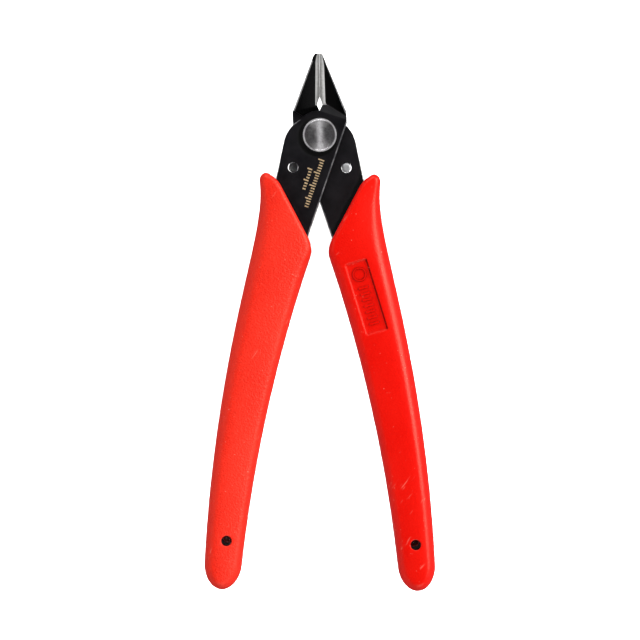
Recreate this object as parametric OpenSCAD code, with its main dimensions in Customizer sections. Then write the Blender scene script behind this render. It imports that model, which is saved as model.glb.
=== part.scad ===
// Diagonal cutting pliers: two lapped blades on one pivot, a wire return spring
// behind them, and a moulded grip over each tang. The tool lies on its back with
// its jaws shut: +X runs across the handles, +Y towards the jaw tips, +Z up.
// The front blade is the left handle and the right jaw. The rear blade is the
// right handle and the left jaw. Plan points are measured from the pivot's axis
// and given for the left handle and the right jaw; the other side is mirrored.

/* [Overall] */
// Length from the jaw tips to the end of the longer handle
overall_length = 128; // [126:0.5:130]
// Distance from the pivot's axis to the jaw tips
jaw_reach = 19.7; // [19.2:0.1:20.2]
// Lean of the shut jaws' outline, anticlockwise about the pivot, in degrees
jaw_lean = 1.2; // [0:0.1:2]
// Lean of the cutting line, likewise
edge_lean = 0.25; // [0:0.05:0.5]

/* [Blade plates] */
// Thickness of each blade's plate
plate_t = 2.3; // [2.1:0.1:2.5]
// Radius of a blade's boss around the pivot
boss_r = 5.85; // [5.7:0.05:6]
// Gap between a boss and the other blade's jaw
boss_gap = 0.25; // [0.2:0.05:0.35]
// Centre of the rounded shoulder at the top of a handle
shoulder_at = [-0.9, -3.2]; // [-4:0.1:0]
// Radius of that shoulder
shoulder_r = 7.85; // [7.6:0.05:7.9]
// Angle between a handle's outer edge and the tool's length, in degrees
outer_edge_angle = 11.5; // [11:0.1:12]
// Angle between a handle's inner edge and the tool's length, in degrees
inner_edge_angle = 19; // [18.8:0.1:19.2]
// Distance from the pivot's axis to a handle's inner edge
inner_edge_offset = 5.13; // [5.05:0.01:5.2]
// Width of the tang inside a grip
tang_w = 7; // [6:0.5:7]

/* [Jaws] */
// Angle between a jaw's outer edge and the cutting line, in degrees
jaw_taper = 21.2; // [21:0.1:21.4]
// Width of one jaw at its tip, before its corner is rounded
tip_w = 0.96; // [0.9:0.02:1]
// Radius of the tip's outer corner
tip_r = 0.75; // [0.6:0.05:0.9]
// Width of one jaw at its root
root_w = 6.45; // [6.4:0.05:6.5]
// Depth of the jaws' flat back below the plane where the plates meet
jaw_back_depth = 1.1; // [1:0.05:1.2]
// Height of each jaw's face above that plane, beside the foot of the bend: front, rear
face_h = [0.43, 0.21]; // [0.2:0.01:0.5]
// Rise of a jaw's face towards its outer edge, in degrees
face_rise = 13; // [10:0.5:15]
// Fall of each jaw's face towards its tip, in degrees: front, rear
face_fall = [1.7, 0.2]; // [0:0.1:2.5]
// Length of the sloping nose at the tips
nose_length = 1.8; // [1.5:0.1:2]
// Slope of the nose, in degrees
nose_slope = 19; // [15:1:25]
// Height of the nose above the cutting edges where it starts
nose_h = 1.1; // [1:0.05:1.2]
// Slope of the bend from the plate to the jaw, in degrees
bend_slope = 38; // [35:1:42]
// Skew of the bend across the blade, in degrees
bend_skew = 18.9; // [18:0.1:20]
// Slope of the land ground beside the cutting line, in degrees
land_slope = 46; // [44:1:48]
// Height of a cutting edge above the jaws' flat back
edge_h = 0.1; // [0.05:0.01:0.15]
// Far end, widest place and near end of the notch between the jaws, along them
notch_ends = [9.35, 7.45, 5.85]; // [5:0.05:10]
// Half-width of that notch
notch_half_w = 0.68; // [0.6:0.01:0.8]

/* [Pivot] */
// Diameter of the screw's plain shank, which the blades turn on
pivot_d = 4; // [3.8:0.1:4.2]
// Radial clearance of each blade on the shank
running_gap = 0.03; // [0.02:0.01:0.05]
// Diameter of the screw's head
head_d = 8; // [7.8:0.1:8.2]
// Thickness of the screw's head
head_t = 1.5; // [1.3:0.1:1.7]
// Diameter of the screw's threaded end
stud_d = 3; // [2.8:0.1:3.2]
// Outer diameter of the disc washer
washer_d = 7; // [6.6:0.1:7]
// Thickness of the disc washer
washer_t = 0.5; // [0.4:0.1:0.6]
// Width of the lock nut across its flats
nut_af = 5.5; // [5:0.5:6]
// Thickness of the lock nut
nut_t = 2.2; // [2:0.1:2.3]

/* [Return spring] */
// Diameter of the spring wire
wire_d = 2.1; // [1.9:0.1:2.1]
// Radius of the wire's loop round the nut, to the middle of the wire
spring_r = 4.7; // [4.65:0.05:4.75]
// Plan position of the hole for a leg of the spring, in the left handle
leg_at = [-6.34, -7.55]; // [-8:0.01:-6]
// Diameter of the hole for a leg
leg_hole_d = 2.5; // [2.4:0.05:2.6]
// Bend radius where a leg turns into its hole, to the middle of the wire
leg_bend_r = 1.5; // [1.4:0.1:1.6]
// Depth of the left leg's end below the face of its plate
leg_recess = 1.5; // [1:0.1:1.8]

/* [Grips] */
// Thickness of a grip
grip_t = 11; // [10.8:0.1:11.4]
// Radius of a grip's bow, along its middle
grip_bow_r = 357; // [350:1:365]
// Plan position of a point halfway along a grip's middle
grip_mid = [-16.99, -59.7]; // [-60:0.01:-16]
// Angle between the grip and the tool's length at that point, in degrees
grip_heading = 11.5; // [11.3:0.1:11.7]
// Length of a grip along its middle, up to the thumb lip
grip_length = 99; // [98:0.5:100]
// Half-width of a grip at its lower end, before that is rounded
grip_end_w = 4.29; // [4.2:0.01:4.5]
// Half-width of a grip at its upper end, without the thumb lip
grip_head_w = 7.25; // [7.1:0.01:7.4]
// Length of the rounding at a grip's lower end
grip_round = 6; // [5:0.5:7]
// Extra width of the thumb lip at its end
lip_flare = 5; // [4.6:0.1:5.2]
// Distance along the lip in which that extra width grows 2.7 times
lip_length = 6.8; // [6.4:0.1:7.2]
// Inner end of the slanted mouth where the plate comes out
mouth_inner = [-2.8, -24.2]; // [-25:0.1:0]
// Outer end of the slanted mouth
mouth_outer = [-9.85, -10.8]; // [-12:0.05:-8]
// Top of the thumb lip
lip_top = [-12.8, -8.55]; // [-14:0.05:-8]
// Outer corner of the thumb lip
lip_corner = [-14.15, -9.75]; // [-15:0.05:-9]
// Distance that the right grip sits further down its handle
grip_stagger = 0.4; // [0:0.1:0.8]
// Diameter of the tether hole through each grip
tether_d = 2.4; // [2:0.1:2.6]
// Distance of the tether hole from its grip's lower end: left, right
tether_from_end = [12, 11.4]; // [11:0.1:13]
// Distance of the tether hole from its grip's middle, towards the other grip: left, right
tether_inwards = [0.4, -0.1]; // [-0.5:0.1:0.5]
// Width, length and depth of the sunk panel on the right grip
panel_size = [5.2, 17.5, 0.45]; // [0.3:0.05:18]
// Distance of the panel's middle from the grip's lower end
panel_from_end = 71.2; // [70:0.1:72]
// Distance of the panel's middle from the grip's middle, towards the other grip
panel_inwards = 0.94; // [0.8:0.02:1.1]
// Angle between the panel and the grip there, in degrees
panel_skew = 2; // [0:0.5:3]

/* [Hidden] */

$fn = 96;
reach = 150; // further than any cutting shape needs to go
past = 1; // how far a cut runs past the surface that it opens
cut_gap = 0.01; // each shut jaw stops this far from the cutting line

// Heights
shear_z = grip_t / 2; // the plates meet at the middle of the grips' thickness
front_top_z = shear_z + plate_t;
rear_back_z = shear_z - plate_t;
jaw_back_z = shear_z - jaw_back_depth;
washer_z = rear_back_z - washer_t;
nut_z = washer_z - nut_t;
wire_gap = 0.1; // between the wire and the rear plate
wire_z = rear_back_z - wire_gap - wire_d / 2;
// Angle between a leg and the tool's length
leg_splay = acos(spring_r / norm(leg_at)) - atan(leg_at.y / leg_at.x);

pivot_y = overall_length / 2 - jaw_reach;

function unit(a) = [cos(a), sin(a)];
function angle_to(from, to) = atan2(to.y - from.y, to.x - from.x);
function turned(p, a) = [p.x * cos(a) - p.y * sin(a), p.x * sin(a) + p.y * cos(a)];
// Points along an arc, no more than arc_step degrees apart
arc_step = 6;
function arc(centre, r, from, to) =
    let (n = ceil(abs(to - from) / arc_step))
    [for (i = [0:n]) centre + r * unit(from + i * (to - from) / n)];

// A handle's straight edges, as points on lines
shoulder_end = shoulder_at + shoulder_r * unit(180 - outer_edge_angle);
shoulder_meets = 142; // angle on the boss where the shoulder starts
function on_outer_edge(y) = [shoulder_end.x + (y - shoulder_end.y) * tan(outer_edge_angle), y];
function on_inner_edge(y) = [inner_edge_offset / cos(inner_edge_angle) + y * tan(inner_edge_angle), y];
outer_edge_end = -17; // both edges run on inside the grip as far as these
inner_edge_end = -25;
inner_edge_top = 3; // under the other blade's jaw

// A jaw's rounded tip and straight outer edge, in the frame of the shut jaws
root_y = jaw_reach - (root_w - tip_w) / tan(jaw_taper);
tip_at = [tip_w + (tip_r * sin(jaw_taper) - tip_r) / cos(jaw_taper), jaw_reach - tip_r];
cutting_line = [[cut_gap, jaw_reach], [cut_gap, notch_ends[0]], [notch_half_w, notch_ends[1]]];
relief_start = 49.7; // angle where the cut for the other shoulder leaves the boss
relief_slope = 31; // and its slope from there
relief_length = 8;
relief_corner = [12, -4]; // outside the blade, on its jaw's side
swing_corner = [-13, 15]; // outside the blade, on its handle's side
bend_y = 5.8; // where the bend meets the cutting line
face_at = [1.55, 7.93]; // the foot of the bend beside the cutting line
face_inset = 1.8; // the sloping face starts this far on the cutting line's side of that
land_back = 0.15; // the land starts this far behind the notch's widest place

// A station along the wire is its place, its direction, and the side away from the nut
loop_steps = 24;
wire_sides = 12;
// From a leg's end in its hole, round the bend, and up to the loop
function leg_path(end_z) =
    let (up = [0, 0, 1], side = [-cos(leg_splay), sin(leg_splay), 0],
         along = [sin(leg_splay), cos(leg_splay), 0], hole = [leg_at.x, leg_at.y, 0],
         bend = hole + leg_bend_r * along + (wire_z + leg_bend_r) * up)
    concat([[hole + end_z * up, -up, side]],
           [for (a = [0:15:90]) [bend - leg_bend_r * (cos(a) * along + sin(a) * up),
                                 sin(a) * along - cos(a) * up, side]],
           [[[-spring_r * cos(leg_splay), spring_r * sin(leg_splay), wire_z], along, side]]);
function flip(p) = [-p.x, p.y, p.z];
function flipped(path) =
    [for (i = [len(path) - 1:-1:0]) [flip(path[i][0]), -flip(path[i][1]), flip(path[i][2])]];

// A grip's middle is an arc, and u is the distance along it from its lower end
grip_centre = grip_mid + grip_bow_r * unit(-grip_heading);
degrees_per_mm = 180 / PI / grip_bow_r;
end_angle = asin((jaw_reach - overall_length - grip_centre.y) / grip_bow_r)
    + grip_stagger * degrees_per_mm;
function heading(u) = end_angle + u * degrees_per_mm;
function on_bow(u, outwards = 0) =
    grip_centre + (grip_bow_r + outwards) * unit(180 - heading(u));

function tether_at(i, drop) = on_bow(tether_from_end[i] - drop, -tether_inwards[i]);

tang_end = 7.5; // distance of the tang's end from the grip's
tang_top = 83; // where the tang widens into the plate
tang_steps = 12;
tang_us = [for (i = [0:tang_steps]) let (start = tang_end + tang_w / 2)
    start + i * (tang_top - start) / tang_steps];

// A grip's cross-section is a superellipse whose crown is cut flat front and back
section_power = 3;
section_points = 24;
crown_h = 0.6; // height of the crown that is cut away
end_share = 0.62; // thickness of a grip's very end, as a share of the whole
lip_side = [-4, -1]; // from the lip's corner to a point outside the grip
end_steps = [for (a = [8:12:80]) grip_round * (1 - cos(a))];
length_count = 15;
crowding = 1.8; // the sections lie closer together towards the thumb lip
length_steps = [for (i = [1:length_count])
    grip_round + (grip_length + 2 * past - grip_round) * (1 - pow(1 - i / length_count, crowding))];
stations = concat(end_steps, length_steps);

function round_end(u) = u < grip_round ? sqrt(1 - pow(1 - u / grip_round, 2)) : 1;
function inner_w(u) = (grip_end_w + (grip_head_w - grip_end_w) * u / grip_length) * round_end(u);
function outer_w(u) = inner_w(u) + lip_flare * exp((u - grip_length) / lip_length);
function half_t(u) = (shear_z + crown_h) * (end_share + (1 - end_share) * round_end(u));
function bulge(x) = sign(x) * pow(abs(x), 2 / section_power);
function section_point(u, a, drop) =
    let (across = bulge(cos(a)), p = on_bow(u - drop, across * (across > 0 ? outer_w(u) : inner_w(u))))
    [p.x, p.y, shear_z + bulge(sin(a)) * half_t(u)];

module at_pivot() translate([0, pivot_y, 0]) children();

// A slab from one height to another
module slab(low, high) translate([0, 0, low]) linear_extrude(high - low) children();

// Everything above, or below, the plane z = 0
module above() translate([-reach, -reach, 0]) cube([2 * reach, 2 * reach, reach]);
module below() translate([-reach, -reach, -reach]) cube([2 * reach, 2 * reach, reach]);

module round_hole(at, d) translate([at.x, at.y, -past]) cylinder(d = d, h = grip_t + 2 * past);

// A whole blade in plan, anticlockwise from the root of the jaw
module blade_outline(lean, edge) {
    polygon(concat(
        [turned([root_w, root_y], lean)],
        [for (p = arc(tip_at, tip_r, jaw_taper, 90)) turned(p, lean)],
        [for (p = cutting_line) turned(p, edge)],
        arc([0, 0], boss_r, 90 + edge, shoulder_meets),
        arc(shoulder_at, shoulder_r, angle_to(shoulder_at, boss_r * unit(shoulder_meets)),
            180 - outer_edge_angle),
        [on_outer_edge(outer_edge_end)],
        [for (i = [tang_steps:-1:0]) on_bow(tang_us[i], tang_w / 2)],
        arc(on_bow(tang_us[0]), tang_w / 2, 180 - heading(tang_us[0]), 360 - heading(tang_us[0])),
        [for (u = tang_us) on_bow(u, -tang_w / 2)],
        [on_inner_edge(inner_edge_end), on_inner_edge(inner_edge_top)]));
}

// Everything in plan but the jaw: room for the other blade's boss and shoulder to swing in
module swing_outline() {
    r = boss_r + boss_gap;
    start = r * unit(relief_start);
    circle(r = r);
    polygon([[0, 0], start, start + relief_length * unit(relief_slope), relief_corner,
             [reach, -reach], [-reach, -reach], swing_corner]);
}

// Everything above a jaw's sloping face
module above_face(h, fall) {
    translate([face_at.x, face_at.y, shear_z + h]) rotate([-fall, -face_rise, 0])
        translate([-face_inset, -jaw_reach, 0]) cube([jaw_reach, 2 * jaw_reach, grip_t]);
}

// The land ground beside the cutting line, and the nose ground at the tip
module above_land() {
    translate([0, notch_ends[1] - land_back, jaw_back_z + edge_h]) rotate([0, -land_slope, 0])
        cube([grip_t, jaw_reach, jaw_reach]);
    translate([-root_w, jaw_reach - nose_length, jaw_back_z + edge_h + nose_h]) rotate([-nose_slope, 0, 0])
        cube([2 * root_w, jaw_reach, grip_t]);
}

// Rings of points skinned into one closed solid; each ring has n points
module skin(points, n) {
    rings = len(points) / n;
    sides = [for (r = [0:rings - 2], i = [0:n - 1], half = [0, 1])
        let (a = r * n + i, b = r * n + (i + 1) % n)
        half == 0 ? [a, b + n, b] : [a, a + n, b + n]];
    polyhedron(points, concat([[for (i = [0:n - 1]) i]], sides,
                              [[for (i = [n - 1:-1:0]) (rings - 1) * n + i]]), convexity = 4);
}

// Round wire along a path of stations
module wire(path) {
    skin([for (s = path, i = [0:wire_sides - 1])
              let (a = 360 * i / wire_sides)
              s[0] + wire_d / 2 * (cos(a) * s[2] + sin(a) * cross(s[1], s[2]))], wire_sides);
}

module blade_holes(tether) {
    round_hole([0, 0], pivot_d + 2 * running_gap);
    round_hole(leg_at, leg_hole_d);
    round_hole(tether, tether_d);
}

module front_blade() {
    color("#2b2b2e") at_pivot() difference() {
        slab(jaw_back_z, front_top_z) blade_outline(jaw_lean, edge_lean);
        slab(0, shear_z) swing_outline();
        rotate(jaw_lean) intersection() {
            above_face(face_h[0], face_fall[0]);
            translate([0, bend_y, front_top_z]) rotate([-bend_slope, 0, -bend_skew]) above();
        }
        rotate(edge_lean) above_land();
        blade_holes(tether_at(0, 0));
    }
}

module rear_blade() {
    color("#303034") at_pivot() mirror([1, 0, 0]) difference() {
        slab(rear_back_z, grip_t) blade_outline(-jaw_lean, -edge_lean);
        slab(shear_z, grip_t + past) swing_outline();
        rotate(-jaw_lean) {
            above_face(face_h[1], face_fall[1]);
            intersection() {
                translate([0, 0, jaw_back_z]) below();
                translate([0, bend_y, rear_back_z]) rotate([bend_slope, 0, -bend_skew]) below();
            }
        }
        rotate(-edge_lean) above_land();
        blade_holes(tether_at(1, grip_stagger));
    }
}

// A turned head with a chamfered rim, a plain shank, and a stud for the nut
module pivot_screw() {
    rim = 0.35;
    dish = 0.05;
    color("#b9b9bd") at_pivot() rotate_extrude()
        polygon([[0, nut_z], [stud_d / 2 - rim, nut_z], [stud_d / 2, nut_z + rim],
                 [stud_d / 2, rear_back_z], [pivot_d / 2, rear_back_z], [pivot_d / 2, front_top_z],
                 [head_d / 2, front_top_z], [head_d / 2, front_top_z + head_t - rim],
                 [head_d / 2 - rim, front_top_z + head_t], [0, front_top_z + head_t - dish]]);
}

module disc_washer() {
    bore_gap = 0.1;
    color("#a8a8ac") at_pivot() slab(washer_z, rear_back_z) difference() {
        circle(d = washer_d);
        circle(d = stud_d + 2 * bore_gap);
    }
}

// A hexagon with its outer corners turned off
module lock_nut() {
    thread_gap = 0.01;
    corner_r = nut_af / 2 / cos(30);
    corner_cut = 0.4;
    color("#8d8d92") at_pivot() difference() {
        intersection() {
            translate([0, 0, nut_z]) rotate(30) cylinder(r = corner_r, h = nut_t, $fn = 6);
            rotate_extrude()
                polygon([[0, nut_z], [corner_r - corner_cut, nut_z], [corner_r, nut_z + corner_cut],
                         [corner_r, washer_z], [0, washer_z]]);
        }
        translate([0, 0, nut_z - past]) cylinder(d = stud_d + 2 * thread_gap, h = nut_t + 2 * past);
    }
}

// A horseshoe of wire round the nut, whose legs turn into a hole in each handle
module return_spring() {
    left = leg_path(front_top_z - leg_recess);
    right = leg_path(shear_z - wire_gap);
    loop = [for (a = [180 - leg_splay:-(180 - 2 * leg_splay) / loop_steps:leg_splay - 1])
        [[spring_r * cos(a), spring_r * sin(a), wire_z], [sin(a), -cos(a), 0], [cos(a), sin(a), 0]]];
    path = concat(left, [for (i = [1:loop_steps - 1]) loop[i]], flipped(right));
    color("#d0d0d4") at_pivot() wire(path);
}

// The left grip, solid, slid down its handle by drop
module grip_body(drop) {
    n = section_points;
    skin([for (u = stations, i = [0:n - 1]) section_point(u, 360 * i / n, drop)], n);
}

// A grip cut flat front and back, with its mouth, its tang's pocket and its hole
module grip(drop, pocket_z, tether) {
    slide = on_bow(grip_length - drop) - on_bow(grip_length);
    difference() {
        grip_body(drop);
        below();
        translate([0, 0, grip_t]) above();
        translate([slide.x, slide.y, 0]) slab(-past, grip_t + past)
            polygon([mouth_inner + 2 * (mouth_inner - mouth_outer), mouth_outer, lip_top, lip_corner,
                     lip_corner + lip_side, [-reach / 2, 0], [reach / 2, 0]]);
        slab(pocket_z, pocket_z + plate_t) blade_outline(0, 0);
        round_hole(tether, tether_d);
    }
}

module left_grip() {
    color("#f4402f") at_pivot() grip(0, shear_z, tether_at(0, 0));
}

module right_grip() {
    panel_u = panel_from_end - grip_stagger;
    panel_at = on_bow(panel_u, -panel_inwards);
    color("#e8281a") at_pivot() mirror([1, 0, 0]) difference() {
        grip(grip_stagger, rear_back_z, tether_at(1, grip_stagger));
        translate([panel_at.x, panel_at.y, grip_t]) rotate(-heading(panel_u) - panel_skew)
            cube([panel_size.x, panel_size.y, 2 * panel_size.z], center = true);
    }
}

front_blade();
rear_blade();
pivot_screw();
disc_washer();
lock_nut();
return_spring();
left_grip();
right_grip();
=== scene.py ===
import math

import bmesh
import bpy
from mathutils import Matrix, Vector
from mathutils.geometry import delaunay_2d_cdt


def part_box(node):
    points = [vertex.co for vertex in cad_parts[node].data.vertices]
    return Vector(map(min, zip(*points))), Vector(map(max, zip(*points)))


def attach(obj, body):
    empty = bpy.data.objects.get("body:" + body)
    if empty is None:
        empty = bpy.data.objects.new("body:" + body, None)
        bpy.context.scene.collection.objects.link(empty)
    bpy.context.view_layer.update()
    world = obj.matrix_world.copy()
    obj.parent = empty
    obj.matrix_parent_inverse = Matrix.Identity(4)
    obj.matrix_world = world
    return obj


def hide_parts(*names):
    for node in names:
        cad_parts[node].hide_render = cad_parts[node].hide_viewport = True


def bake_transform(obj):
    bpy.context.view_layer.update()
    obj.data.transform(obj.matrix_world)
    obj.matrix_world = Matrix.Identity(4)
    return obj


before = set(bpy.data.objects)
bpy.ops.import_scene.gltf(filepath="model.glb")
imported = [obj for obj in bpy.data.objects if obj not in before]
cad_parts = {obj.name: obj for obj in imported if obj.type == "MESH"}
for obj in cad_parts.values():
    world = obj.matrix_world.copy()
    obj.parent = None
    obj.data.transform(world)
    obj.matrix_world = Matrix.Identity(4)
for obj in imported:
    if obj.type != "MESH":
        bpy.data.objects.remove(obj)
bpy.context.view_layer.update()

# Diagonal cutting pliers, lying on their back with their jaws shut: +X across the
# handles, +Y towards the jaw tips, +Z up. Lengths below are in millimetres, in plan
# from the pivot's axis and in height from the floor, and placed() turns them into
# the row frame in metres. Plan points are given for the left handle and mirrored
# for the right one. Lamps and the camera are placed in metres.

MM = 0.001
screw_low, screw_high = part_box("pivot_screw")
PIVOT_X = (screw_low.x + screw_high.x) / 2 / MM
PIVOT_Y = (screw_low.y + screw_high.y) / 2 / MM
GRIP_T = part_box("left_grip")[1].z / MM
MID_Z = GRIP_T / 2
PLATE_T = 2.3
FRONT_TOP = MID_Z + PLATE_T
REAR_BACK = MID_Z - PLATE_T
JAW_REACH, LENGTH = 19.7, 128.0
# The slanted mouth where a plate comes out of its grip
MOUTH_INNER = Vector((-2.8, -24.2))
MOUTH_OUTER = Vector((-9.85, -10.8))
# How far the shut jaws' outline and the cutting line lean, anticlockwise
JAW_LEAN, EDGE_LEAN = math.radians(1.2), math.radians(0.25)
# The hole in the front blade for the return spring's left leg
LEG = Vector((-6.34, -7.55, 0))


def placed(x, y, z):
    return Vector(((x + PIVOT_X) * MM, (y + PIVOT_Y) * MM, z * MM))


# ---------------------------------------------------------------- camera and light

# Straight above the tool, as in the photo
CAMERA_PLACE = (0.00005, 0.00048, 0.6401)

camera_data = bpy.data.cameras.new("camera")
camera_data.lens = 150
camera_data.sensor_width = 36
camera_data.clip_start = 0.01
camera_data.clip_end = 20
camera = bpy.data.objects.new("camera", camera_data)
camera.location = CAMERA_PLACE
bpy.context.scene.collection.objects.link(camera)
bpy.context.scene.camera = camera


def softbox(name, place, aim, size, power):
    """A flat lamp of a width and a height, facing aim."""
    data = bpy.data.lights.new(name, "AREA")
    data.shape = "RECTANGLE"
    data.size, data.size_y = size
    data.energy = power
    lamp = bpy.data.objects.new(name, data)
    lamp.location = place
    lamp.rotation_euler = (Vector(aim) - Vector(place)).to_track_quat("-Z", "Y").to_euler()
    bpy.context.scene.collection.objects.link(lamp)
    return lamp


def light_group(lamps, pieces, state="INCLUDE", side="receiver_collection"):
    """Lets lamps light only these pieces, or every piece but these, or be shaded only by them."""
    group = bpy.data.collections.new(lamps[0].name + "_" + side)
    for piece in pieces:
        group.objects.link(piece)
    for member in group.collection_objects:
        member.light_linking.link_state = state
    for lamp in lamps:
        setattr(lamp.light_linking, side, group)


key_light = softbox("key_light", (1.0, 0.30, 0.62), (0, 0, 0), (0.9, 0.9), 22.0)
softbox("far_light", (-0.12, 0.95, 0.62), (0, 0.02, 0), (0.9, 0.5), 8.0)
softbox("near_light", (0.14, -0.95, 0.6), (0, 0, 0), (0.9, 0.5), 7.0)
left_light = softbox("left_light", (-1.0, 0.1, 0.45), (0, 0, 0), (0.5, 0.9), 6.0)
left_light.visible_glossy = False
# Two wide, dim walls that only the blades see
blade_lights = [softbox("blade_light_right", (0.95, 0.1, 0.6), (0, 0, 0), (1.4, 1.0), 4.6),
                softbox("blade_light_left", (-0.95, 0.1, 0.6), (0, 0, 0), (1.4, 1.0), 5.0)]
# Six that light only the floor, from all sides, so that it stays pale round the tool
FLOOR_LAMPS = ((0.8, 0.35, 14.0), (-0.8, 0.35, 14.0), (0.8, -0.35, 14.0), (-0.8, -0.35, 14.0),
               (0.08, -0.9, 26.0), (-0.08, -0.9, 26.0))
floor_lights = [softbox("floor_light_%d" % i, (x, y, 0.9), (0, 0, 0), (1.0, 1.0), power)
                for i, (x, y, power) in enumerate(FLOOR_LAMPS)]
# Two narrow ones that streak the turned face of the screw
fan_lights = [softbox("fan_light_far", (0.0, 0.9, 0.75), (0, 0.045, 0), (0.26, 0.6), 1.9),
              softbox("fan_light_near", (0.0, -0.8, 0.75), (0, 0.045, 0), (0.26, 0.6), 0.95)]

# The studio's walls: brightness by height, from straight down at 0 to straight up at 1
WALLS = ((0.2, 0.25), (0.46, 0.85), (0.53, 1.0), (0.65, 0.3), (0.93, 0.1))
WALL_STRENGTH = 0.7


def studio_walls():
    world = bpy.data.worlds.new("studio")
    bpy.context.scene.world = world
    world.use_nodes = True
    nodes, links = world.node_tree.nodes, world.node_tree.links
    nodes.clear()
    output = nodes.new("ShaderNodeOutputWorld")
    background = nodes.new("ShaderNodeBackground")
    background.inputs["Strength"].default_value = WALL_STRENGTH
    coordinates = nodes.new("ShaderNodeTexCoord")
    split = nodes.new("ShaderNodeSeparateXYZ")
    height = nodes.new("ShaderNodeMapRange")
    height.inputs["From Min"].default_value = -1
    ramp = nodes.new("ShaderNodeValToRGB")
    for _ in WALLS[2:]:
        ramp.color_ramp.elements.new(0.5)
    for element, (at, grey) in zip(ramp.color_ramp.elements, WALLS):
        element.position = at
        element.color = (grey, grey, grey, 1)
    links.new(coordinates.outputs["Generated"], split.inputs[0])
    links.new(split.outputs["Z"], height.inputs["Value"])
    links.new(height.outputs["Result"], ramp.inputs[0])
    links.new(ramp.outputs[0], background.inputs["Color"])
    links.new(background.outputs[0], output.inputs[0])


studio_walls()
bpy.context.scene.view_settings.view_transform = "Standard"


# ---------------------------------------------------------------- materials

class Look:
    """A Principled material in object coordinates, measured in millimetres."""

    def __init__(self, name, colour, metallic=0.0, roughness=0.5, **sockets):
        self.material = bpy.data.materials.new(name)
        self.material.use_nodes = True
        self.tree = self.material.node_tree
        self.shader = self.tree.nodes["Principled BSDF"]
        self.shader.inputs["Base Color"].default_value = (*colour, 1)
        self.shader.inputs["Metallic"].default_value = metallic
        self.shader.inputs["Roughness"].default_value = roughness
        for socket, value in sockets.items():
            self.shader.inputs[socket.replace("_", " ")].default_value = value
        self.heights = []

    def node(self, kind, inputs=(), **settings):
        made = self.tree.nodes.new("ShaderNode" + kind)
        for key, value in settings.items():
            setattr(made, key, value)
        for key, value in dict(inputs).items():
            if isinstance(value, bpy.types.NodeSocket):
                self.tree.links.new(value, made.inputs[key])
            else:
                made.inputs[key].default_value = value
        return made

    def place(self, turn=0.0, stretch=(1, 1, 1)):
        """Object coordinates in millimetres, turned about Z, then stretched."""
        coordinates = self.node("TexCoord").outputs["Object"]
        turned = self.node("Mapping", {"Vector": coordinates, "Rotation": (0, 0, math.radians(turn)),
                                       "Scale": (1 / MM, 1 / MM, 1 / MM)})
        return self.node("Mapping", {"Vector": turned.outputs[0], "Scale": stretch}).outputs[0]

    def split(self):
        """Object coordinates in millimetres, as an X, a Y and a Z output."""
        return self.node("SeparateXYZ", {"Vector": self.place()}).outputs

    def noise(self, size, detail=2.0, rough=0.5, turn=0.0, stretch=(1, 1, 1)):
        return self.node("TexNoise", {"Vector": self.place(turn, stretch), "Scale": 1 / size,
                                      "Detail": detail, "Roughness": rough}).outputs["Fac"]

    def cells(self, size):
        return self.node("TexVoronoi", {"Vector": self.place(), "Scale": 1 / size,
                                        "Randomness": 1.0}, feature="SMOOTH_F1").outputs["Distance"]

    def ramp(self, fac, stops):
        made = self.node("ValToRGB", {"Fac": fac})
        ramp = made.color_ramp
        while len(ramp.elements) < len(stops):
            ramp.elements.new(0.5)
        for element, (at, colour) in zip(ramp.elements, stops):
            element.position = at
            element.color = (*colour, 1)
        return made.outputs["Color"]

    def range(self, fac, low, high, start=0.0, end=1.0):
        return self.node("MapRange", {"Value": fac, "From Min": low, "From Max": high,
                                      "To Min": start, "To Max": end}).outputs["Result"]

    def maths(self, operation, a, b=0.0):
        return self.node("Math", {0: a, 1: b}, operation=operation).outputs[0]

    def mix(self, fac, a, b):
        made = self.node("Mix", {0: fac}, data_type="RGBA")
        for slot, value in ((6, a), (7, b)):
            if isinstance(value, bpy.types.NodeSocket):
                self.tree.links.new(value, made.inputs[slot])
            else:
                made.inputs[slot].default_value = (*value, 1)
        return made.outputs[2]

    def colour(self, socket):
        self.tree.links.new(socket, self.shader.inputs["Base Color"])

    def roughness(self, socket):
        self.tree.links.new(socket, self.shader.inputs["Roughness"])

    def bump(self, height, depth):
        """Adds relief: height runs from 0 to 1, and depth is in millimetres."""
        inputs = {"Height": height, "Distance": depth * MM, "Strength": 1.0}
        if self.heights:
            inputs["Normal"] = self.heights[-1]
        self.heights.append(self.node("Bump", inputs).outputs[0])
        self.tree.links.new(self.heights[-1], self.shader.inputs["Normal"])


def black_oxide(name, base, tint, roughness, gloss, painted_shade=None):
    """Blacked steel. An optional socket made from the look gives where a painted shadow makes it black and
    matt.
    """
    look = Look(name, base, roughness=roughness, Specular_IOR_Level=gloss)
    patches = look.noise(3.5, 4.0, 0.6)
    grain = look.noise(0.16, 3.0, 0.6)
    shade = look.mix(look.range(patches, 0.3, 0.7), base, tint)
    matt = look.range(look.maths("ADD", patches, look.maths("MULTIPLY", grain, 0.6)),
                      0.5, 1.1, roughness - 0.08, roughness + 0.08)
    # Where a painted shadow is given, the steel is painted blacker and matter there
    if painted_shade:
        much = painted_shade(look)
        shade = look.mix(much, shade, (0.0004, 0.0004, 0.0004))
        matt = look.maths("ADD", matt, look.maths("MULTIPLY", much, 0.55))
    look.colour(shade)
    look.roughness(matt)
    look.bump(look.noise(0.5, 3.0, 0.5, 12, (1, 0.12, 1)), 0.006)
    look.bump(grain, 0.006)
    return look.material


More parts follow.
